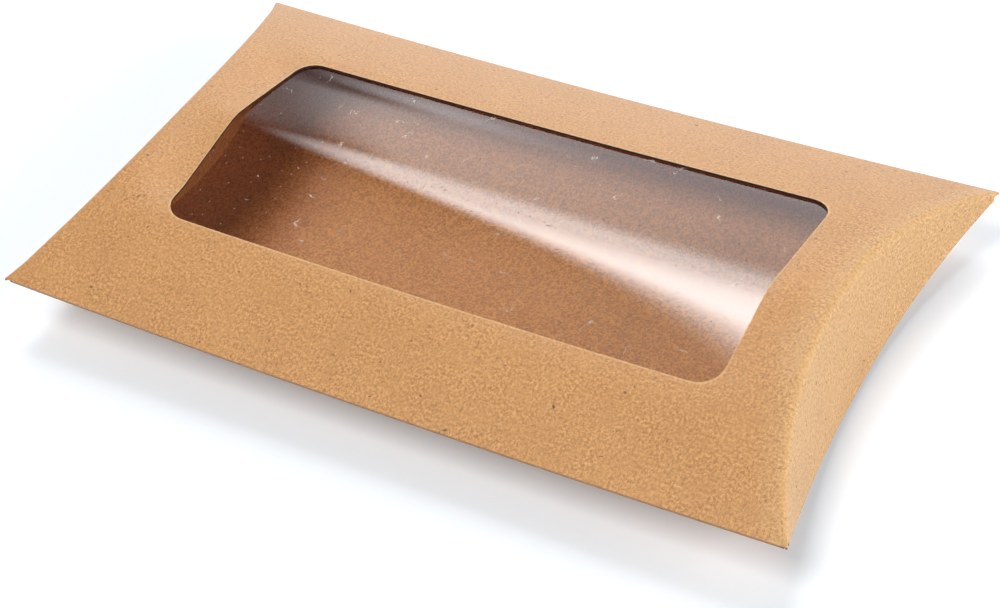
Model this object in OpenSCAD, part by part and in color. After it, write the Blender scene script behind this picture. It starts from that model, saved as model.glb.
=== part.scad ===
// Kraft board pillow box with a film window.
// Two arched panels meet at two long folds, which bow down between the corners.
// At each end a curved flap of each panel folds in across the opening.
// The box rests on its lower belly. Its length runs along X and its long folds are at the front (-Y) and back (+Y).

/* [Box] */
// Length of the box between its corners
box_len = 173; // [130:1:240]
// Width of the box across its two long folds
box_w = 100; // [84:1:140]
// Depth of the box from the upper belly to the lower one
box_d = 23.6; // [18:0.2:32]
// How far the long folds bow down at their middle
fold_sag = 1.4; // [0.4:0.1:2.4]
// Width of the flat that the lower belly settles on
rest_w = 8; // [4:0.5:12]

/* [Board] */
// Thickness of the kraft board
board_t = 0.45; // [0.3:0.05:0.7]
// Width of the seam flap that is glued inside the front long fold
seam_w = 13; // [8:0.5:14]
// How far the ends of the seam flap stop short of the inner end flaps
seam_end = 3; // [1:0.5:8]

/* [Window] */
// Board left between the window and each long fold
side_border = 23.2; // [22.5:0.1:32]
// Board left between the window and the middle of each end fold
end_border = 13.3; // [11:0.1:24]
// Radius of the window's corners
window_r = 5; // [2:0.5:12]
// Thickness of the clear film
film_t = 0.2; // [0.1:0.05:0.3]
// How far the film laps over the board around the window
film_lap = 8; // [4:0.5:8]

/* [End flaps] */
// Gap between an outer end flap and the board next to it
flap_gap = 0.2; // [0.1:0.05:0.4]
// How far the tips of an outer end flap stop short of the long folds
flap_tip = 2; // [1:0.25:5]
// How far the free edge of an outer end flap stops short of the lower fold
flap_short = 0.5; // [0.3:0.1:3]
// How far the free edge of an inner end flap stops below the top panel
inner_short = 1.5; // [0.5:0.25:5]

/* [Hidden] */

$fn = 360;
bend_fn = 1440;
kraft = "#b98a58";
clear_film = [0.86, 0.90, 0.92, 0.35];

// A long fold is two boards high, so each panel's arch starts one board away from the middle plane.
arch_h = box_d / 2 - board_t;
arch_r = (pow(box_w / 2, 2) + pow(arch_h, 2)) / (2 * arch_h);
// The flat takes this much off the lower belly.
settle = pow(rest_w, 2) / (8 * arch_r);
// Height of the long folds at their middle.
mid_z = box_d / 2 - settle;
sag_r = (pow(box_len / 2, 2) + pow(fold_sag, 2)) / (2 * fold_sag);
// An end fold lies in a plane at 45 degrees, so a folded flap bows in as far as its panel bows out.
fold_x = box_len / 2 - arch_h;
inner_face = board_t + flap_gap;
inner_back = inner_face + board_t;
window_len = 2 * (fold_x - end_border);
window_w = box_w - 2 * side_border;
// Plain reach past the box for the bodies that trim it.
past = 10;

// Height of a panel's outer face above its start at the fold, at a distance y from the middle.
function arch_at(y) = arch_h - arch_r + sqrt(pow(arch_r, 2) - pow(y, 2));

// Round bar along the box, bent like its long folds.
// Its surface, inset by inset, is the arch of the top panel (side 1) or the bottom (side -1).
module arch_bar(side, inset) {
    bend = 2 * asin((box_len / 2 + past) / sag_r);
    translate([0, 0, mid_z + sag_r])
        rotate([90, 0, 0])
            rotate([0, 0, -90 - bend / 2])
                rotate_extrude(angle = bend, $fn = bend_fn)
                    translate([sag_r - side * (box_d / 2 - arch_r), 0])
                        circle(r = arch_r - inset);
}

// Slab from the settled flat upwards, as wide as the box, inset by inset.
module belly_slab(inset) {
    translate([-box_len / 2 - past, -box_w / 2 + inset, inset])
        cube([box_len + 2 * past, box_w - 2 * inset, box_d + past]);
}

// The closed tube's section, drawn along the whole length, inset by inset.
module pillow(inset) {
    intersection() {
        arch_bar(1, inset);
        arch_bar(-1, inset);
        belly_slab(inset);
    }
}

// Upright round column beyond an end (side 1 right, -1 left). Its surface, grown by depth, is a face of a folded flap.
module end_column(side, depth) {
    translate([side * (fold_x + arch_r), 0, -past])
        cylinder(r = arch_r + depth, h = box_d + 2 * past);
}

// Curved wall across an end, between two depths behind the outer face.
module end_wall(side, front, back) {
    difference() {
        end_column(side, back);
        end_column(side, front);
    }
}

// Block as wide as a flap between the reliefs at its tips.
module between_tips(relief) {
    translate([-box_len, -box_w / 2 + relief, -past])
        cube([2 * box_len, box_w - 2 * relief, box_d + 2 * past]);
}

// What is cut away at an end: the corners run out to the outer face, and the rest stops behind the outer flap.
module end_cut(side) {
    end_column(side, 0);
    intersection() {
        end_column(side, inner_face);
        between_tips(flap_tip);
    }
}

// Upright prism of the window, with round corners.
module window_prism(grow, r) {
    x = window_len / 2 + grow - r;
    y = window_w / 2 + grow - r;
    translate([0, 0, mid_z])
        linear_extrude(box_d)
            union() {
                square([2 * x, 2 * (y + r)], center = true);
                square([2 * (x + r), 2 * y], center = true);
                for (i = [-1, 1], j = [-1, 1])
                    translate([i * x, j * y])
                        circle(r = r);
            }
}

// Glued strip under the top panel along the front fold, with slanted ends.
module seam_flap() {
    fold_end = box_len / 2 - inner_back - seam_end;
    free_end = fold_end - arch_at(box_w / 2 - seam_w);
    intersection() {
        pillow(0);
        difference() {
            arch_bar(1, board_t);
            arch_bar(1, 2 * board_t);
        }
        translate([0, -box_w / 2, mid_z])
            linear_extrude(box_d)
                polygon([[-fold_end, 0], [fold_end, 0], [free_end, seam_w], [-free_end, seam_w]]);
    }
}

// End flap of the bottom panel, folded up behind the outer flap.
module inner_flap(side) {
    intersection() {
        end_wall(side, inner_face, inner_back);
        pillow(0);
        arch_bar(1, board_t + inner_short);
    }
}

// End flap of the top panel, folded down over the end.
module outer_flap(side) {
    intersection() {
        end_wall(side, 0, board_t);
        pillow(0);
        arch_bar(-1, flap_short);
        between_tips(flap_tip + flap_gap);
        translate([-box_len, -box_w, flap_short])
            cube([2 * box_len, 2 * box_w, box_d]);
    }
}

module carton() {
    color(kraft)
        difference() {
            union() {
                difference() {
                    pillow(0);
                    pillow(board_t);
                }
                seam_flap();
                for (side = [-1, 1])
                    inner_flap(side);
            }
            for (side = [-1, 1])
                end_cut(side);
            window_prism(0, window_r);
        }
}

module window_film() {
    color(clear_film)
        intersection() {
            difference() {
                arch_bar(1, board_t);
                arch_bar(1, board_t + film_t);
            }
            translate([-window_len / 2 - film_lap, -window_w / 2 - film_lap, mid_z])
                cube([window_len + 2 * film_lap, window_w + 2 * film_lap, box_d]);
        }
}

module left_end_flap() {
    color(kraft)
        outer_flap(-1);
}

module right_end_flap() {
    color(kraft)
        outer_flap(1);
}

carton();
window_film();
left_end_flap();
right_end_flap();
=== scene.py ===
"""Kraft board pillow box with a film window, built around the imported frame. Lengths are in metres."""
import math

import bpy
import numpy as np
from mathutils import Matrix, Quaternion, Vector


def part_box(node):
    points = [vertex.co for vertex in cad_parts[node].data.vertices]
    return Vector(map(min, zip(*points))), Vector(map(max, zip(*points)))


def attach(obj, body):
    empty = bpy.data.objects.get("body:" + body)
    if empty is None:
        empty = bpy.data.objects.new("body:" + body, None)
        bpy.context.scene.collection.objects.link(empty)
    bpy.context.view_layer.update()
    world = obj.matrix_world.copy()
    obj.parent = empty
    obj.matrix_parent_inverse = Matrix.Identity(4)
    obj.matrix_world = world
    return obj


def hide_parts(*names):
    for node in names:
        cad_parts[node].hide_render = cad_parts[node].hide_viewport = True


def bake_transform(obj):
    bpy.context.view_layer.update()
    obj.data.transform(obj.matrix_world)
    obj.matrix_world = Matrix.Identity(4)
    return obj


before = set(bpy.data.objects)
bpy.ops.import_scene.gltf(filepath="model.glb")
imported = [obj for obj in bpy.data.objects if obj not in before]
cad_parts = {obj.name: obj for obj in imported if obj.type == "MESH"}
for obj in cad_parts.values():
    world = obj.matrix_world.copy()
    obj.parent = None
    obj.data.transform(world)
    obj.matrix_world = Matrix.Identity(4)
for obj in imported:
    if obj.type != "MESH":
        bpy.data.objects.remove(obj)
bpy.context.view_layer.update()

# Box
MM = 0.001
BOARD = 0.45 * MM
FILM = 0.2 * MM
CLEAR = 0.06 * MM  # what lies flat on another layer stays this far off it
SAG = 1.4 * MM  # the long folds bow down by this at their middle
FOLD_R = 0.65 * MM  # outside radius of the long folds
TOP_RISE = 10.95 * MM  # the top panel's arch above its start at the long folds
BELLY_DROP = 10.9 * MM  # the bottom panel's arch below its start
TOP_TO_CORNER = 11.7 * MM  # the box's corners lie this far below its highest point

# Ridge: the top panel is bent up along its middle
RIDGE_RISE = 0.9 * MM
RIDGE_RISE_TILT = 0.5 * MM  # it stands this much higher at the window's right end
RIDGE_Y = -0.9 * MM
RIDGE_SKEW = -2.4 * MM  # and lies this much further forward there
RIDGE_FLANK = 19.3 * MM  # its flanks run straight for this far
RIDGE_DIP = 1.64 * MM  # and their ends lie this much lower than on a round arch
RIDGE_FADE = 10 * MM  # and the dip is gone this much further out
RIDGE_ROUND = {"board": 1.7 * MM, "film": 5 * MM}  # radius of its top
RIDGE_LIFT = 2.1 * MM  # distances from it count this much shorter, which lifts its rounded top

# End folds and flaps. 1 is the right side and -1 the left one.
TOP_CREASE_IN = {1: 12.0 * MM, -1: 11.5 * MM}  # how far the upper end folds bow in at the middle
BELLY_CREASE_IN = 8.5 * MM
BELLY_CREASE_SKEW = 0.2  # the lower ones bow in by this share more at the back, and less at the front
END_BOW_POWER = 2.1
CREASE_SOFT = {1: 1.9 * MM, -1: 1.3 * MM}  # how far the bend of an end fold reaches
CREASE_MOST = 0.28  # but by no more than this share of the wall's height
BEND_MOST = 0.4  # nor than this share of the wall's own length
JOINT_PAST = 0.4 * MM  # the outer flap's own piece begins this far past the bend
JOINT_MOST = 0.1  # but no further than this share of the wall's length
CORNER_ROOM = 0.3 * MM  # an end wall's foot stays this far below the long folds
FLAP_TIP = 1.6 * MM  # an outer flap stops this far short of the long folds
FLAP_SHORT = 0.4 * MM  # and this far short of the lower fold
FLAP_SHORT_MOST = 0.2  # but by no more than this share of its length
INNER_SHORT = 1.5 * MM  # an inner flap stops this far below the top panel
INNER_BEND = 0.8 * MM  # how far its bend reaches
INNER_BEND_MOST = 0.5  # but by no more than this share of the bend above it
INNER_HALF = 46 * MM  # half the inner flap's width

# Window and film
WINDOW_R = 5 * MM
FILM_LAP = 8 * MM
FILM_CLINGS = 1 * MM  # this far inside the window's front edge the film starts to follow the board

# Seam flap, glued up inside the front long fold
SEAM_W = 13 * MM
SEAM_TIGHTER = 0.2 * MM  # the front fold's radius is this much less
SEAM_IN = 0.35 * MM  # and it lies this far in from the box's edge
SEAM_SHORT = 2 * MM  # its ends stop this far short of the bottom panel's
SEAM_SLANT = 7 * MM  # and slant in by this much up to its free edge
SEAM_SETTLES = 4 * MM  # from this far past the fold on it lies against the top panel
SEAM_SLOPE = 0.9  # and rises at this share of the panel's slope before that
FRONT_EDGE_IN = 0.02 * MM  # the top panel's free edge over it lies this far in

# Places taken from the frame
low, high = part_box("carton")
HALF_L = high.x
HALF_W = high.y
CORNER_Z = high.z - TOP_TO_CORNER
film_low, film_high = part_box("window_film")
WINDOW_X = film_high.x - FILM_LAP
WINDOW_Y = film_high.y - FILM_LAP

# Mesh steps
LONG_STEPS = 150
END_STEPS = 72
RING_STEPS = 30
RIM = 0.018  # share of the way from the window to the folds that its pale rim takes: worn fibres and a painted highlight
CORNER_STEPS = 8
FOLD_STEPS = 8
SEAM_STEPS = 12
CREASE_STEPS = 8
INNER_BEND_STEPS = 5
WALL_STEPS = 14
FILM_STEPS = (140, 70)

# How pale the board is at its folds, from broken fibres and at the end folds a painted highlight, and how
# dark its cut edges are, from painted shade and at the outer edges their own darker brown
CREASE_WEAR_AND_HIGHLIGHT = 0.4
FOLD_WORN = 0.7
WINDOW_EDGE_SHADE = 1.0
OTHER_EDGE_SHADE = 0.6

# Board. Noises are scale per mm, detail and roughness, and steps are from, to, low and high.
KRAFT_DARK = (0.43, 0.175, 0.042, 1)
KRAFT_LIGHT = (0.81, 0.415, 0.145, 1)
KRAFT_PALE = (0.84, 0.54, 0.26, 1)
KRAFT_BROWN = (0.34, 0.14, 0.05, 1)
FLECK = (0.10, 0.035, 0.012, 1)
# Cut edges: painted shade, near black
CUT_EDGE_PAINTED_SHADE = (0.02, 0.011, 0.007, 1)
# Painted sheen: makes the right end flap paler outside
RIGHT_FLAP_PAINTED_SHEEN = (1.10, 1.30, 1.60, 1)
INSIDE_TINT = (1.0, 0.81, 0.54, 1)
# Painted shade inside at the bottom panel's left end
INSIDE_LEFT_PAINTED_SHADE = (0.72, 0.50, 0.35, 1)
INSIDE_DEPTH = 2.0  # the board's inner face has other fibres: its places lie this far down, in mm
CLOUDS = (0.07, 2.0, 0.5)
CLOUD_SHARE = 0.22
PATCHES = (0.55, 3.0, 0.6)
PATCH_SHARE = 0.30
MOTTLE = (1.8, 5.0, 0.8)
GRAIN_SHARE = 3.0
LIVELY = (0.21, 2.0, 0.5)  # where the grain is strong and where it is faint
LIVELY_STEP = (0.35, 0.65, 0.7, 1.5)
LIVELIER_INSIDE = 1.6
SHADE_STEP = (-0.29, 0.81)
CURL = (0.45, 2.0, 0.5)
BOARD_CURL = 2.4  # fibres are pushed about by up to this many mm
STRANDS = ((8, 3), (63, 17), (-52, 31))  # turn in degrees and seed
STRAND_SIZE = (0.16, 1.5, 1)  # width and length in mm
PALE_STRAND_STEP = (0.58, 0.72)
PALE_STRAND_SHARE = 0.30
DARK_STRAND_STEP = (0.64, 0.78)
DARK_STRAND_SHARE = 0.28
BROKEN_STEP = (0.25, 0.75, 0.25, 0.80)
# Masks for the painted sheen past the right end fold and the painted shade at the bottom panel's left end
FOLD_BOW = 0.0048  # bow of the right end fold on the flat sheet: mm for each square mm
PAINTED_SHEEN_STEP = (66, 77)
SHADE_LEFT_STEP = (-44, -62)
SHADE_BOTTOM_STEP = (45, 55)
# Spots: cell across and along in mm, turn, radius in cells, share of cells, strength, seed
FLECKS = [
    ((2.2, 4.0), 20, 0.11, 0.30, 0.30, 5.3),
    ((3.0, 5.0), -35, 0.065, 0.22, 0.35, 11.1),
    ((9.0, 15.0), 50, 0.026, 0.35, 0.75, 23.9),
    ((12.0, 12.0), 0, 0.022, 0.40, 0.95, 37.3),
]
SPOT_CORE = 0.6  # a spot is full up to this share of its radius
BUMP_STRENGTH = 0.5
BUMP_DISTANCE = 0.03 * MM
BUMP_STRANDS = (0.6, 0.5)
ROUGH_STEP = (0.3, 0.7, 0.42, 0.54)
SHEEN = {"Sheen Weight": 0.28, "Sheen Roughness": 0.45, "Sheen Tint": (1, 0.96, 0.90, 1)}

# Film
FILM_IOR = 1.9  # one face reflects about as much as both faces of a film of 1.6
FILM_ROUGHNESS = 0.02
FILM_CLEAR = (0.99, 0.99, 0.99, 1)
LINT_COLOUR = (0.80, 0.70, 0.63, 1)
LINT_CURL = 5.0
DUST = ((4.0, 4.0), 0, 0.05, 0.6, 0.22, 2.7)
LINT = [
    ((3.0, 36.0), 25, 0.050, 0.35, 0.50, 8.1),
    ((3.2, 30.0), -60, 0.046, 0.35, 0.50, 19.7),
    ((8.0, 8.0), 0, 0.026, 0.50, 0.35, 29.3),
]

# Room: steps over the height or depth of a direction
ROOM_COLOUR = (0.965, 1, 1.03, 1)
WALL_STEP = (0.05, 0.4, 1.6, 0.6)
FRONT_WALL_STEP = (-0.6, 0.3, 0.4, 1.0)
CEILING_STEP = (0.42, 0.66, 1.0, 0.10)

# Softbox: steps over the slopes up and across its face
SOFTBOX_MIDDLE = (-0.4635, 0.4236, 0.7793)
SOFTBOX_UP = (0.335, -0.730, 0.596)
SOFTBOX_ACROSS = (0.821, 0.537, 0.196)
SOFTBOX_LOW_GLOW = (-0.5, -0.25, 1.4, 5.0)
SOFTBOX_HIGH_GLOW = (-0.2, 0.15, 0.0, 4.4)
SOFTBOX_TOP = (0.195, 0.23, 1.0, 0.0)
SOFTBOX_LEFT = (-0.012, 0.036)
SOFTBOX_DIMS = (0.12, 0.3, 1.0, 0.75)
SOFTBOX_RIGHT = (0.33, 0.5, 1.0, 0.0)
SOFTBOX_AHEAD = (0.1, 0.3)
LOW_BULGE_FROM = -0.05  # its left edge bends in below this height
LOW_BULGE = 0.65
LOW_BULGE_MOST = 0.09
HIGH_BULGE = 0.5

# Lamps. Directions are from the box, and sizes are for each metre away.
LAMPS_AWAY = 2.2
OVERHEAD_MIDDLE = (-0.2, -0.4, 0.9)
OVERHEAD_SIZE = (0.45, 0.45)
OVERHEAD_LIGHT = 6.7
FILL_MIDDLE = (0.88, -0.05, 0.35)
FILL_SIZE = (0.8, 0.5)
FILL_LIGHT = 4.2

# Floor and camera
FLOOR_HALF = 6
FLOOR_COLOUR = (0.87, 0.87, 0.89, 1)
FLOOR_GLOW = (0.192, 0.235, 0.26, 1)
CAMERA_LENS = 83.7
CAMERA_SENSOR = 36
CAMERA_PLACE = (0.20146, -0.28319, 0.30725)  # from the level of the box's corners
CAMERA_LOOK = (-0.42496, 0.59346, -0.68353)
CAMERA_ROLL = -8.64  # degrees


def fold_z(x):
    """Height of the long folds."""
    return CORNER_Z + SAG * ((x / HALF_L) ** 2 - 1)


def fold_angle(rise):
    """Slope of a panel where it leaves the long fold."""
    return math.atan(2 * rise / HALF_W)


def tangent_y(rise):
    """Distance from the middle at which a panel leaves the round of its long fold."""
    return HALF_W - FOLD_R + FOLD_R * math.sin(fold_angle(rise))


def smooth(t):
    """Smooth step from 0 to 1."""
    t = np.clip(t, 0, 1)
    return t * t * (3 - 2 * t)


def ridge(x, y, sheet):
    """What the ridge adds to the round arch of the top panel. It is gone at the end folds."""
    along = x / WINDOW_X
    rise = RIDGE_RISE + RIDGE_RISE_TILT * along
    off = np.abs(y - RIDGE_Y - RIDGE_SKEW * along)
    soft = np.minimum(np.sqrt(off**2 + RIDGE_ROUND[sheet] ** 2) - RIDGE_LIFT, RIDGE_FLANK)
    flank = rise - RIDGE_DIP * (1 - (1 - soft / RIDGE_FLANK) ** 2)
    regained = smooth((off - RIDGE_FLANK) / RIDGE_FADE)
    if sheet == "film":
        regained = regained * np.where(y < 0, smooth((-y - WINDOW_Y + FILM_CLINGS) / FILM_LAP), 1)
    beyond = (rise - RIDGE_DIP) * (1 - regained)
    end = HALF_L - TOP_CREASE_IN[1]
    fade = smooth((end - np.abs(x)) / (end - WINDOW_X))
    return np.where(off < RIDGE_FLANK, flank, beyond) * fade


def arch(y, rise):
    """Height of an arch at a distance y from the middle, above its start at the fold."""
    return rise * (1 - (y / tangent_y(rise)) ** 2)


def top_z(x, y, sheet="board"):
    """Outer face of the top panel, or the form that the film under it follows, one board higher up."""
    return fold_z(x) + FOLD_R * math.cos(fold_angle(TOP_RISE)) + arch(y, TOP_RISE) + ridge(x, y, sheet)


def belly_z(x, y):
    """Outer face of the bottom panel, settled flat on the surface it rests on."""
    z = fold_z(x) - FOLD_R * math.cos(fold_angle(BELLY_DROP)) - arch(y, BELLY_DROP)
    return np.maximum(z, 0)


def end_bow(y):
    """How far in an end fold has bowed at y, as a share of its bow in the middle."""
    return 1 - np.abs(y / HALF_W) ** END_BOW_POWER


def wall_top_x(side, y):
    """Distance of an upper end fold from the middle of the box."""
    return HALF_L - TOP_CREASE_IN[side] * end_bow(y)


def wall_foot_x(y):
    """The same for a lower end fold."""
    return HALF_L - BELLY_CREASE_IN * end_bow(y) * (1 + BELLY_CREASE_SKEW * y / HALF_W)


def crease_reach(side, y):
    """How far the bend of an end fold reaches to either side of it. It is less near the low corners."""
    height = 2 * (FOLD_R + arch(y, TOP_RISE))
    return np.minimum(CREASE_SOFT[side], CREASE_MOST * height)


def bezier(a, b, c, steps, first=0):
    """Rows of points of the curve that leaves row a towards row b and arrives at row c from it."""
    t = np.linspace(0, 1, steps + 1)[first:, None, None]
    return (1 - t) ** 2 * a + 2 * t * (1 - t) * b + t**2 * c


def closer_at_ends(steps):
    """Numbers from -1 to 1 that lie closer together at both ends."""
    t = np.linspace(-1, 1, steps + 1)
    return 0.5 * (np.sin(t * math.pi / 2) + t)


def rows(x, y, z):
    """Points with the given coordinates, one in each row."""
    x, y, z = np.broadcast_arrays(x, y, z)
    return np.stack([x, y, z], axis=-1).astype(float)


class Sheet:
    """Outer face of a folded sheet, as vertices and quads. thicken() adds its inner face and cut edges.

    flat holds each vertex's place on the sheet before folding, and a second list how pale each vertex is
    painted: broken fibres and, at the end folds' bends and the window's rim, a painted highlight.
    """

    def __init__(self):
        self.points = []
        self.flat = []
        self.wear_and_highlight = []
        self.quads = []
        self.window = 0  # how many of the first vertices outline the window

    def add(self, rows_of_points, flat, wear_and_highlight=0.0):
        """Adds points and returns their numbers."""
        first = len(self.points)
        count = len(rows_of_points)
        self.points.extend(np.asarray(rows_of_points).reshape(-1, 3))
        self.flat.extend(np.asarray(flat, float))
        self.wear_and_highlight.extend(np.broadcast_to(np.asarray(wear_and_highlight, float), count))
        return first + np.arange(count)

    def strip(self, a, b, closed=False):
        """Quads between two rows of vertex numbers."""
        pairs = range(len(a)) if closed else range(len(a) - 1)
        for i in pairs:
            j = (i + 1) % len(a)
            self.quads.append((a[i], a[j], b[j], b[i]))

    def grow(self, row, layers, way, wear_and_highlight=None, mirrored=False):
        """Adds layers of points beyond a row of vertex numbers. Returns all rows, with the first one.

        way is the direction in which the flat sheet goes on. A mirrored side has its quads turned round.
        """
        made = [row]
        for k, layer in enumerate(layers):
            before = np.array([self.points[i] for i in row])
            step = np.linalg.norm(np.asarray(layer) - before, axis=1)[:, None]
            flat = np.array([self.flat[i] for i in row]) + step * np.array(way)
            new = self.add(layer, flat, 0.0 if wear_and_highlight is None else wear_and_highlight[k])
            if mirrored:
                self.strip(new, row)
            else:
                self.strip(row, new)
            row = new
            made.append(row)
        return made

    def thicken(self, name, thickness):
        """Object of the sheet, thickness deep, with its marks for the materials."""
        outer = np.array(self.points)
        quads = np.array(self.quads)
        a, b, c, d = (outer[quads[:, k]] for k in range(4))
        face_normal = np.cross(c - a, d - b)
        normal = np.zeros_like(outer)
        for k in range(4):
            np.add.at(normal, quads[:, k], face_normal)
        normal /= np.linalg.norm(normal, axis=1)[:, None]
        inner = outer - thickness * normal
        n = len(outer)
        faces = [tuple(q) for q in quads] + [tuple(q[::-1] + n) for q in quads]
        edges = set()
        for q in quads:
            for k in range(4):
                edges.add((q[k], q[(k + 1) % 4]))
        cut = sorted(e for e in edges if (e[1], e[0]) not in edges)
        cut_faces = [(j, i, i + n, j + n) for i, j in cut]
        mesh = bpy.data.meshes.new(name)
        all_faces = [tuple(map(int, face)) for face in faces + cut_faces]
        mesh.from_pydata(np.vstack([outer, inner]).tolist(), [], all_faces)
        mesh.update()
        smooth_flags = np.ones(len(mesh.polygons), bool)
        smooth_flags[len(faces):] = False
        mesh.polygons.foreach_set("use_smooth", smooth_flags)
        sharp = mesh.attributes.new("sharp_edge", "BOOLEAN", "EDGE")
        cut_set = {tuple(sorted((int(i) + k, int(j) + k))) for i, j in cut for k in (0, n)}
        flags = [tuple(sorted(e.vertices)) in cut_set for e in mesh.edges]
        sharp.data.foreach_set("value", flags)

        flat = np.array(self.flat) / MM
        flat = np.vstack([np.column_stack([flat, np.full(n, depth)]) for depth in (0, INSIDE_DEPTH)])
        place = mesh.attributes.new("flat_mm", "FLOAT_VECTOR", "POINT")
        place.data.foreach_set("vector", flat.ravel())
        side = mesh.attributes.new("inside", "FLOAT", "POINT")
        side.data.foreach_set("value", np.repeat([0.0, 1.0], n))
        wear_and_highlight = mesh.attributes.new("wear_and_highlight", "FLOAT", "POINT")
        wear_and_highlight.data.foreach_set("value", np.concatenate([self.wear_and_highlight, np.zeros(n)]))
        # Cut faces get painted shade: full at the window's edge, less at the outer edges
        edge = mesh.attributes.new("cut_edge_shade", "FLOAT", "FACE")
        edge_shades = [WINDOW_EDGE_SHADE if max(i, j) < self.window else OTHER_EDGE_SHADE for i, j in cut]
        edge.data.foreach_set("value", np.concatenate([np.zeros(len(faces)), edge_shades]))
        obj = bpy.data.objects.new(name, mesh)
        bpy.context.scene.collection.objects.link(obj)
        return obj


def rounded_window():
    """Outline of the window as four sides between its corners, counterclockwise from the front left."""
    x, y, r = WINDOW_X, WINDOW_Y, WINDOW_R
    corners = [(-x + r, -y + r), (x - r, -y + r), (x - r, y - r), (-x + r, y - r)]
    half = math.radians(45)

    def arc(cx, cy, start):
        turns = [start + half * i / CORNER_STEPS for i in range(CORNER_STEPS)]
        return [(cx + r * math.cos(turn), cy + r * math.sin(turn)) for turn in turns]

    sides = []
    for k in range(4):
        start = math.radians(-90 + 90 * k)
        steps = LONG_STEPS if k % 2 == 0 else END_STEPS
        (ax, ay), (bx, by) = corners[k], corners[(k + 1) % 4]
        n = steps - 2 * CORNER_STEPS
        px, py = ax + r * math.cos(start), ay + r * math.sin(start)
        qx, qy = bx + r * math.cos(start), by + r * math.sin(start)
        middle = [(px + (qx - px) * i / n, py + (qy - py) * i / n) for i in range(n + 1)]
        sides.append(arc(ax, ay, start - half) + middle + arc(bx, by, start)[1:])
    return sides


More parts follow.
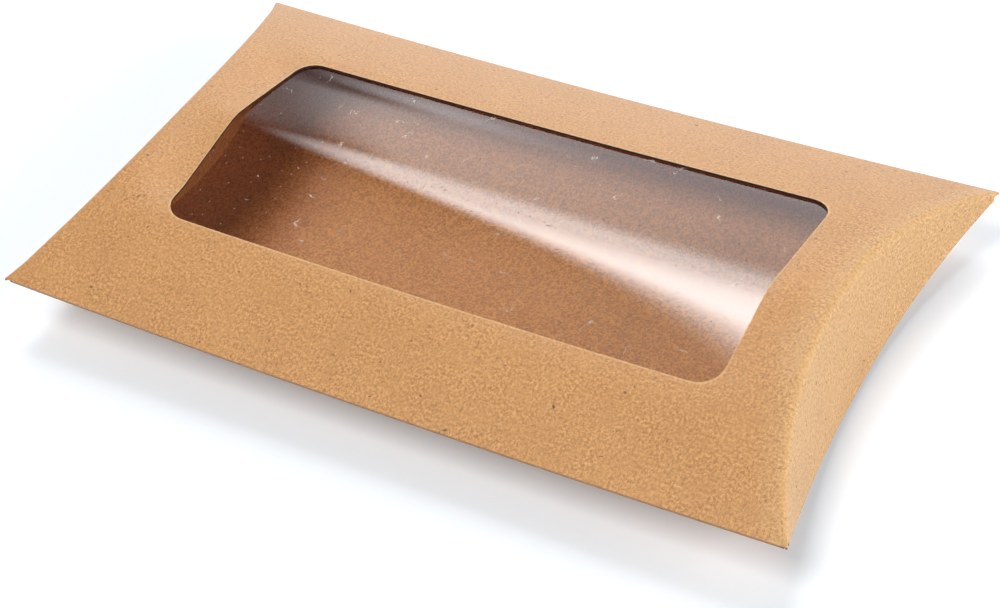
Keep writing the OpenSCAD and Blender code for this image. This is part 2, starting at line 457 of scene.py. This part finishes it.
def build_carton():
    """The whole board but for its two outer end flaps."""
    sheet = Sheet()
    edge_y = tangent_y(TOP_RISE)
    front_y = -(HALF_W - FRONT_EDGE_IN)

    # Top panel: rings from the window's outline to the folds
    def panel_end_x(y, side=1):
        return wall_top_x(side, y) - crease_reach(side, y)

    t_long = np.linspace(-1, 1, LONG_STEPS + 1)
    t_end = closer_at_ends(END_STEPS)
    y_end = front_y + (edge_y - front_y) * (t_end + 1) / 2
    front = np.stack([t_long * panel_end_x(front_y), np.full(LONG_STEPS + 1, front_y)], 1)
    right = np.stack([panel_end_x(y_end), y_end], 1)
    back = np.stack([-t_long * panel_end_x(edge_y), np.full(LONG_STEPS + 1, edge_y)], 1)
    left = np.stack([-panel_end_x(y_end, -1), y_end], 1)[::-1]
    outer = np.vstack([side[:-1] for side in (front, right, back, left)])
    inner = np.array([p for side in rounded_window() for p in side])
    sheet.window = len(inner)
    row = None
    # The window's rim is painted paler: worn fibres and a painted highlight
    for t in [0, RIM / 2, RIM] + list(np.linspace(0, 1, RING_STEPS + 1)[1:]):
        xy = inner + (outer - inner) * t
        z = top_z(xy[:, 0], xy[:, 1])
        new = sheet.add(rows(xy[:, 0], xy[:, 1], z), xy, 1.0 if t < RIM else 0.0)
        if row is not None:
            sheet.strip(new, row, closed=True)
        row = new
    ring = row
    right_row = ring[LONG_STEPS:LONG_STEPS + END_STEPS + 1]
    back_row = ring[LONG_STEPS + END_STEPS:2 * LONG_STEPS + END_STEPS + 1][::-1]
    left_row = np.append(ring[2 * LONG_STEPS + END_STEPS:], ring[0])[::-1]

    # Bends of the end folds, down to where the outer flaps begin
    for side, crease_row in ((1, right_row), (-1, left_row)):
        layers = crease_layers(side, y_end)[1:]
        # Paler across each bend: broken fibres and a painted highlight
        wear_and_highlight = [CREASE_WEAR_AND_HIGHLIGHT * math.sin(math.pi * (k + 1) / len(layers)) for k in range(len(layers))]
        sheet.grow(crease_row, layers, (side, 0), wear_and_highlight, mirrored=side == 1)

    # Back fold and bottom panel
    belly_y = tangent_y(BELLY_DROP)
    belly_rows = -closer_at_ends(END_STEPS) * belly_y

    def belly_end_x(y):
        return wall_foot_x(y) - BOARD - 2 * CLEAR - inner_bend_reach(y)

    a, b = math.pi / 2 - fold_angle(TOP_RISE), math.pi / 2 - fold_angle(BELLY_DROP)
    layers = []
    for k in range(1, FOLD_STEPS + 1):
        turn = a - (a + b) * k / FOLD_STEPS
        end_x = panel_end_x(edge_y) + (belly_end_x(belly_y) - panel_end_x(edge_y)) * k / FOLD_STEPS
        x = t_long * end_x
        y = HALF_W - FOLD_R + FOLD_R * math.cos(turn)
        layers.append(rows(x, y, fold_z(x) + FOLD_R * math.sin(turn)))
    fold_worn = [FOLD_WORN * math.sin(math.pi * k / FOLD_STEPS) for k in range(1, FOLD_STEPS + 1)]
    row = sheet.grow(back_row, layers, (0, 1), fold_worn)[-1]
    layers = []
    for y in belly_rows[1:]:
        x = t_long * belly_end_x(y)
        layers.append(rows(x, y, belly_z(x, y)))
    belly = sheet.grow(row, layers, (0, 1))
    row = belly[-1]

    # Front fold, tighter because the seam flap goes up inside the top panel
    seam_r = FOLD_R - SEAM_TIGHTER
    layers = []
    seam_drop = BOARD + CLEAR
    centre_y = -HALF_W + SEAM_IN + seam_r
    lift = belly_z(0.0, -belly_y) - (fold_z(0.0) - seam_r * math.sin(b))
    for k in range(1, FOLD_STEPS + 1):
        turn = b - (a + b) * k / FOLD_STEPS
        end_x = belly_end_x(belly_y) - SEAM_SHORT * k / FOLD_STEPS
        x = t_long * end_x
        y = centre_y - seam_r * math.cos(turn)
        z = fold_z(x) + lift * (1 - k / FOLD_STEPS) - seam_r * math.sin(turn)
        layers.append(rows(x, y, z))
    seam_in_y = -HALF_W + SEAM_W
    last_y = centre_y - seam_r * math.cos(-a)
    for k in range(1, SEAM_STEPS + 1):
        y = last_y + (seam_in_y - last_y) * k / SEAM_STEPS
        end_x = belly_end_x(belly_y) - SEAM_SHORT - SEAM_SLANT * k / SEAM_STEPS
        x = t_long * end_x
        settle = smooth(np.array((y - last_y) / SEAM_SETTLES))
        risen = (y - last_y) * math.tan(fold_angle(TOP_RISE)) * SEAM_SLOPE
        fold_top = fold_z(x) - seam_r * math.sin(-a) + risen
        z = fold_top * (1 - settle) + (top_z(x, y) - seam_drop) * settle
        layers.append(rows(x, y, np.minimum(z, top_z(x, y) - seam_drop)))
    sheet.grow(row, layers, (0, 1))

    # Inner end flaps, folded up from the bottom panel
    for side in (1, -1):
        keep = np.abs(belly_rows) <= INNER_HALF
        row = np.array([r[-1 if side == 1 else 0] for r in belly])[keep]
        start = np.array([sheet.points[i] for i in row])
        layers = inner_wall(side, belly_rows[keep], start)
        sheet.grow(row, layers, (side, 0), mirrored=side == 1)
    return sheet.thicken("carton_board", BOARD)


def crease_points(side, y):
    """Start, corner and foot of an end wall's outer face at each y."""
    top_x = wall_top_x(side, y)
    foot_x = wall_foot_x(y)
    start_x = top_x - crease_reach(side, y)
    corner = rows(side * top_x, y, top_z(side * top_x, y))
    foot_z = np.minimum(belly_z(side * foot_x, y), fold_z(side * foot_x) - CORNER_ROOM)
    foot = rows(side * foot_x, y, foot_z)
    start = rows(side * start_x, y, top_z(side * start_x, y))
    return start, corner, foot


def crease_end(side, y):
    """Where the bend of an end fold turns into the wall, and where the outer flap's own piece begins."""
    _, corner, foot = crease_points(side, y)
    down = foot - corner
    length = np.linalg.norm(down, axis=1)[:, None]
    down = down / length
    reach = np.minimum(crease_reach(side, y)[:, None], BEND_MOST * length)
    end = corner + down * reach
    return end, end + down * np.minimum(JOINT_PAST, JOINT_MOST * length)


def crease_layers(side, y):
    """Layers of an end fold's bend, from the panel to where the flap's own piece begins."""
    start, corner, _ = crease_points(side, y)
    end, joint = crease_end(side, y)
    return list(bezier(start, corner, end, CREASE_STEPS)) + [joint]


def inner_bend_reach(y):
    """How far the bend of an inner end flap reaches."""
    return np.minimum(INNER_BEND, INNER_BEND_MOST * crease_reach(1, y))


def inner_wall(side, y, start):
    """Layers of an inner end flap: a bend at the belly, then a wall that ends below the top panel."""
    back = BOARD + 2 * CLEAR
    _, corner, _ = crease_points(side, y)
    inward = np.array([side * back, 0, 0])
    foot_x = side * wall_foot_x(y)
    low_corner = rows(foot_x, y, belly_z(foot_x, y)) - inward
    top = corner - inward - np.array([0, 0, BOARD + INNER_SHORT])
    up = top - low_corner
    length = np.linalg.norm(up, axis=1)[:, None]
    reach = np.minimum(inner_bend_reach(y)[:, None], BEND_MOST * length)
    end = low_corner + up / length * reach
    bend = list(bezier(start, low_corner, end, INNER_BEND_STEPS, first=1))
    wall = [end + (top - end) * k / WALL_STEPS for k in range(1, WALL_STEPS + 1)]
    return bend + wall


def build_flap(side, name):
    """Outer end flap, from the bend of its fold down to its free edge."""
    sheet = Sheet()
    y = (HALF_W - FLAP_TIP) * closer_at_ends(END_STEPS)
    _, _, foot = crease_points(side, y)
    bend = crease_layers(side, y)
    bend_length = sum(np.linalg.norm(far - near, axis=1) for near, far in zip(bend, bend[1:]))
    joint = bend[-1]
    down = foot - joint
    length = np.linalg.norm(down, axis=1)[:, None]
    foot = foot - down / length * np.minimum(FLAP_SHORT, FLAP_SHORT_MOST * length)
    row = sheet.add(joint, np.column_stack([bend[0][:, 0] + side * bend_length, y]))
    layers = [joint + (foot - joint) * k / WALL_STEPS for k in range(1, WALL_STEPS + 1)]
    sheet.grow(row, layers, (side, 0), mirrored=side == 1)
    return sheet.thicken(name, BOARD)


def build_film():
    """The film, against the inner face of the top panel."""
    sheet = Sheet()
    half_x, half_y = WINDOW_X + FILM_LAP, WINDOW_Y + FILM_LAP
    x = np.linspace(-half_x, half_x, FILM_STEPS[0] + 1)
    row = None
    for y in np.linspace(-half_y, half_y, FILM_STEPS[1] + 1):
        z = top_z(x, y, "film") - BOARD - CLEAR
        new = sheet.add(rows(x, y, z), np.column_stack([x, np.full(len(x), y)]))
        if row is not None:
            sheet.strip(row, new)
        row = new
    return sheet.thicken("clear_film", FILM)


class Wiring:
    """Makes and joins shader nodes. A value is a number, a colour or another node's output."""

    def __init__(self, tree):
        self.nodes = tree.nodes
        self.links = tree.links

    def node(self, kind, values=None, **settings):
        """New node with the given values in its sockets."""
        made = self.nodes.new("ShaderNode" + kind)
        for key, value in settings.items():
            setattr(made, key, value)
        for key, value in (values or {}).items():
            self.feed(made.inputs[key], value)
        return made

    def feed(self, socket, value):
        if isinstance(value, bpy.types.NodeSocket):
            self.links.new(value, socket)
        else:
            socket.default_value = value

    def attribute(self, name, output="Fac"):
        return self.node("Attribute", attribute_name=name).outputs[output]

    def math(self, operation, a, b=0.0):
        return self.node("Math", {0: a, 1: b}, operation=operation).outputs[0]

    def times(self, a, b):
        return self.math("MULTIPLY", a, b)

    def plus(self, a, b):
        return self.math("ADD", a, b)

    def dot(self, a, b):
        return self.node("VectorMath", {0: a, 1: b}, operation="DOT_PRODUCT").outputs["Value"]

    def step(self, value, start, end, low=0.0, high=1.0):
        """Smooth step of a value from low at start to high at end."""
        values = {"Value": value, "From Min": start, "From Max": end, "To Min": low, "To Max": high}
        return self.node("MapRange", values, interpolation_type="SMOOTHSTEP").outputs[0]

    def mix(self, share, a, b, kind="MIX"):
        """Colour between a and b."""
        return self.node("Mix", {0: share, 6: a, 7: b}, data_type="RGBA", blend_type=kind).outputs[2]

    def place(self, vector, size=(1, 1, 1), turn=0.0, shift=(0, 0, 0)):
        """Place on the sheet, turned and measured in units of size."""
        values = {"Vector": vector, "Angle": math.radians(turn)}
        turned = self.node("VectorRotate", values, rotation_type="Z_AXIS")
        values = {"Vector": turned.outputs[0], "Scale": tuple(1 / s for s in size), "Location": shift}
        return self.node("Mapping", values).outputs[0]

    def noise(self, vector, scale, detail, roughness=0.5, output=0):
        values = {"Vector": vector, "Scale": scale, "Detail": detail, "Roughness": roughness}
        return self.node("TexNoise", values).outputs[output]

    def spots(self, vector, size, turn, radius, share, strength, seed):
        """Small spots of the given strength, one in each cell, in the given share of the cells."""
        place = self.place(vector, (*size, 1), turn, (seed, 2 * seed, 0))
        cells = self.node("TexVoronoi", {"Vector": place, "Scale": 1.0}, voronoi_dimensions="2D")
        spot = self.step(cells.outputs["Distance"], SPOT_CORE * radius, radius, 1.0, 0.0)
        parts = self.node("SeparateColor", {0: cells.outputs["Color"]})
        kept = self.math("LESS_THAN", parts.outputs[0], share)
        return self.times(self.times(spot, kept), strength)

    def curl(self, vector, reach):
        """Places on the sheet in mm, each pushed about a little so that fibres curl."""
        push = self.noise(vector, *CURL, output=1)
        push = self.node("VectorMath", {0: push, 1: (0.5, 0.5, 0.5)}, operation="SUBTRACT").outputs[0]
        push = self.node("VectorMath", {0: push, "Scale": reach}, operation="SCALE").outputs[0]
        return self.node("VectorMath", {0: vector, 1: push}, operation="ADD").outputs[0]

    def fibres(self, vector, turn, seed):
        """Fine streaks that all run about the same way."""
        place = self.place(vector, STRAND_SIZE, turn, (seed, seed, 0))
        return self.noise(place, 1.0, 1.0)


def material(name):
    """New material without nodes, and its wiring."""
    made = bpy.data.materials.new(name)
    made.use_nodes = True
    made.node_tree.nodes.clear()
    return made, Wiring(made.node_tree)


def kraft_material():
    """Uncoated board: cloudy, mottled and flecked, with loose fibres, pale where it is worn, with painted
    highlights, painted sheen and painted shade.
    """
    made, wire = material("kraft_board")
    flat = wire.attribute("flat_mm", "Vector")
    inside = wire.attribute("inside")
    wear_and_highlight = wire.attribute("wear_and_highlight")
    cut = wire.attribute("cut_edge_shade")
    places = wire.node("SeparateXYZ", {0: flat}).outputs
    curled = wire.curl(flat, BOARD_CURL)

    # Clouds, patches and grain
    clouds = wire.noise(flat, *CLOUDS)
    patches = wire.noise(flat, *PATCHES)
    mottle = wire.noise(flat, *MOTTLE)
    lively = wire.step(wire.noise(flat, *LIVELY), *LIVELY_STEP)
    lively = wire.times(lively, wire.plus(wire.times(inside, LIVELIER_INSIDE), 1.0))
    grain = wire.times(wire.math("SUBTRACT", mottle, 0.5), lively)
    shade = wire.plus(wire.times(clouds, CLOUD_SHARE), wire.times(patches, PATCH_SHARE))
    shade = wire.plus(shade, wire.times(grain, GRAIN_SHARE))
    colour = wire.mix(wire.step(shade, *SHADE_STEP), KRAFT_DARK, KRAFT_LIGHT)

    # Strands of fibre, then bark flecks from many faint ones to a few that are nearly black
    strands = [wire.fibres(curled, turn, seed) for turn, seed in STRANDS]
    pale_strands = wire.step(strands[0], *PALE_STRAND_STEP)
    dark_strands = wire.step(wire.math("MAXIMUM", strands[1], strands[2]), *DARK_STRAND_STEP)
    colour = wire.mix(wire.times(pale_strands, PALE_STRAND_SHARE), colour, KRAFT_PALE)
    colour = wire.mix(wire.times(dark_strands, DARK_STRAND_SHARE), colour, KRAFT_BROWN)
    flecks = wire.spots(curled, *FLECKS[0])
    for fleck in FLECKS[1:]:
        flecks = wire.math("MAXIMUM", flecks, wire.spots(curled, *fleck))
    colour = wire.mix(flecks, colour, FLECK)

    # The right end flap is painted paler outside as painted sheen, and broken fibres and painted
    # highlights are paler.
    # The inner face is redder, and painted shade makes it darkest at the bottom panel's left end.
    fold_bow = wire.times(wire.times(places["Y"], places["Y"]), FOLD_BOW)
    painted_sheen_past_fold = wire.step(wire.math("SUBTRACT", places["X"], fold_bow), *PAINTED_SHEEN_STEP)
    outside = wire.math("SUBTRACT", 1.0, inside)
    colour = wire.mix(wire.times(painted_sheen_past_fold, outside), colour, RIGHT_FLAP_PAINTED_SHEEN, "MULTIPLY")
    # Paler where fibres are broken and where highlights are painted
    wear_and_highlight_share = wire.times(wear_and_highlight, wire.step(mottle, *BROKEN_STEP))
    colour = wire.mix(wear_and_highlight_share, colour, KRAFT_PALE)
    # Painted shade: the inner face is darkest at the bottom panel's left end
    painted_shade_bottom_left = wire.times(wire.step(places["X"], *SHADE_LEFT_STEP), wire.step(places["Y"], *SHADE_BOTTOM_STEP))
    inside_tint_and_shade = wire.mix(painted_shade_bottom_left, INSIDE_TINT, INSIDE_LEFT_PAINTED_SHADE)
    colour = wire.mix(inside, colour, inside_tint_and_shade, "MULTIPLY")
    # Painted shade on the cut edges, over the outer edges' own darker brown
    colour = wire.mix(cut, colour, CUT_EDGE_PAINTED_SHADE)

    height = wire.plus(mottle, wire.times(strands[0], BUMP_STRANDS[0]))
    height = wire.plus(height, wire.times(strands[1], BUMP_STRANDS[1]))
    bump = wire.node("Bump", {"Height": height, "Strength": BUMP_STRENGTH, "Distance": BUMP_DISTANCE})
    rough = wire.step(mottle, *ROUGH_STEP)
    values = {"Base Color": colour, "Roughness": rough, "Normal": bump.outputs[0], **SHEEN}
    shader = wire.node("BsdfPrincipled", values)
    wire.node("OutputMaterial", {0: shader.outputs[0]})
    return made


def film_material():
    """Clear film that mirrors the room from its outer face only, with dust and lint on it."""
    made, wire = material("clear_film")
    flat = wire.attribute("flat_mm", "Vector")
    clear = wire.node("BsdfTransparent", {"Color": FILM_CLEAR})
    gloss = wire.node("BsdfAnisotropic", {"Roughness": FILM_ROUGHNESS})
    mirror = wire.node("Fresnel", {"IOR": FILM_IOR}).outputs[0]
    outer_face = wire.math("SUBTRACT", 1.0, wire.node("NewGeometry").outputs["Backfacing"])
    share = wire.times(mirror, outer_face)
    film = wire.node("MixShader", {0: share, 1: clear.outputs[0], 2: gloss.outputs[0]})

    curled = wire.curl(flat, LINT_CURL)
    dust = wire.spots(flat, *DUST)
    for lint in LINT:
        dust = wire.math("MAXIMUM", dust, wire.spots(curled, *lint))
    dust = wire.times(dust, outer_face)
    lint = wire.node("BsdfDiffuse", {"Color": LINT_COLOUR})
    film = wire.node("MixShader", {0: dust, 1: film.outputs[0], 2: lint.outputs[0]})
    wire.node("OutputMaterial", {0: film.outputs[0]})
    return made


def put_in_place():
    """Builds the pieces and tells the frame what each rides on and replaces."""
    kraft = kraft_material()
    carton = build_carton()
    carton.data.materials.append(kraft)
    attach(carton, "carton")
    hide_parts("carton")

    film = build_film()
    film.data.materials.append(film_material())
    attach(film, "carton")
    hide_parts("window_film")

    for side, word in ((1, "right"), (-1, "left")):
        flap = build_flap(side, word + "_flap_board")
        flap.data.materials.append(kraft)
        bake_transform(flap)
        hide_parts(word + "_end_flap")


def light_scene():
    """A pale studio with a dark ceiling, a softbox at the back left, and lamps above and at the right."""
    world = bpy.data.worlds.new("studio")
    bpy.context.scene.world = world
    world.use_nodes = True
    wire = Wiring(world.node_tree)
    way = wire.node("TexCoord").outputs["Generated"]
    parts = wire.node("SeparateXYZ", {0: way}).outputs
    walls = wire.times(wire.step(parts["Z"], *WALL_STEP), wire.step(parts["Y"], *FRONT_WALL_STEP))
    room = wire.times(walls, wire.step(parts["Z"], *CEILING_STEP))

    # Slopes over the softbox's face. Its left edge bulges to the right below and above its middle.
    ahead = wire.dot(way, SOFTBOX_MIDDLE)
    up = wire.math("DIVIDE", wire.dot(way, SOFTBOX_UP), ahead)
    across = wire.math("DIVIDE", wire.dot(way, SOFTBOX_ACROSS), ahead)
    below = wire.math("MINIMUM", wire.math("SUBTRACT", up, LOW_BULGE_FROM), 0.0)
    low_bulge = wire.times(wire.math("POWER", below, 2.0), LOW_BULGE)
    low_bulge = wire.math("MINIMUM", low_bulge, LOW_BULGE_MOST)
    above = wire.math("MAXIMUM", up, 0.0)
    bulge = wire.plus(low_bulge, wire.times(wire.math("POWER", above, 2.0), HIGH_BULGE))
    left_edge = wire.step(wire.math("SUBTRACT", across, bulge), *SOFTBOX_LEFT)
    right_side = wire.times(wire.step(across, *SOFTBOX_DIMS), wire.step(across, *SOFTBOX_RIGHT))
    glow = wire.plus(wire.step(up, *SOFTBOX_LOW_GLOW), wire.step(up, *SOFTBOX_HIGH_GLOW))
    glow = wire.times(glow, wire.step(up, *SOFTBOX_TOP))
    glow = wire.times(glow, wire.times(left_edge, right_side))
    glow = wire.times(glow, wire.step(ahead, *SOFTBOX_AHEAD))
    background = world.node_tree.nodes["Background"]
    wire.feed(background.inputs["Color"], ROOM_COLOUR)
    wire.feed(background.inputs["Strength"], wire.plus(room, glow))

    lamp("overhead", OVERHEAD_MIDDLE, (1, 0, 0), OVERHEAD_SIZE, OVERHEAD_LIGHT)
    lamp("right_fill", FILL_MIDDLE, (0, 1, 0), FILL_SIZE, FILL_LIGHT)


def lamp(name, direction, along, size, light):
    """Flat lamp that faces the box. Its light is how bright its face looks, where 1 is white."""
    middle = Vector(direction).normalized()
    along = Vector(along)
    along = (along - along.dot(middle) * middle).normalized()
    across = middle.cross(along)
    data = bpy.data.lights.new(name, "AREA")
    data.shape = "RECTANGLE"
    data.size, data.size_y = size[0] * LAMPS_AWAY, size[1] * LAMPS_AWAY
    data.energy = light * math.pi * data.size * data.size_y
    made = bpy.data.objects.new(name, data)
    made.matrix_world = Matrix((along, across, middle)).transposed().to_4x4()
    made.location = LAMPS_AWAY * middle
    bpy.context.scene.collection.objects.link(made)


def lay_floor():
    """Pale floor that the camera sees as white. Its colour keeps the box's shadow."""
    mesh = bpy.data.meshes.new("floor")
    half = FLOOR_HALF
    corners = [(-half, -half, 0), (half, -half, 0), (half, half, 0), (-half, half, 0)]
    mesh.from_pydata(corners, [], [(0, 1, 2, 3)])
    floor = bpy.data.objects.new("floor", mesh)
    bpy.context.scene.collection.objects.link(floor)
    made, wire = material("pale_floor")
    pale = wire.node("BsdfDiffuse", {"Color": FLOOR_COLOUR})
    seen = wire.node("LightPath").outputs["Is Camera Ray"]
    glow = wire.node("Emission", {"Color": FLOOR_GLOW, "Strength": seen})
    both = wire.node("AddShader", {0: pale.outputs[0], 1: glow.outputs[0]})
    wire.node("OutputMaterial", {0: both.outputs[0]})
    mesh.materials.append(made)


def place_camera():
    """Camera at the photograph's viewing angle."""
    data = bpy.data.cameras.new("camera")
    data.lens = CAMERA_LENS
    data.sensor_width = CAMERA_SENSOR
    camera = bpy.data.objects.new("camera", data)
    x, y, z = CAMERA_PLACE
    camera.location = (x, y, z + CORNER_Z)
    camera.rotation_mode = "QUATERNION"
    roll = Quaternion((0, 0, 1), math.radians(CAMERA_ROLL))
    camera.rotation_quaternion = Vector(CAMERA_LOOK).to_track_quat("-Z", "Y") @ roll
    bpy.context.scene.collection.objects.link(camera)
    bpy.context.scene.camera = camera


place_camera()
lay_floor()
light_scene()
put_in_place()
bpy.context.scene.view_settings.view_transform = "Standard"
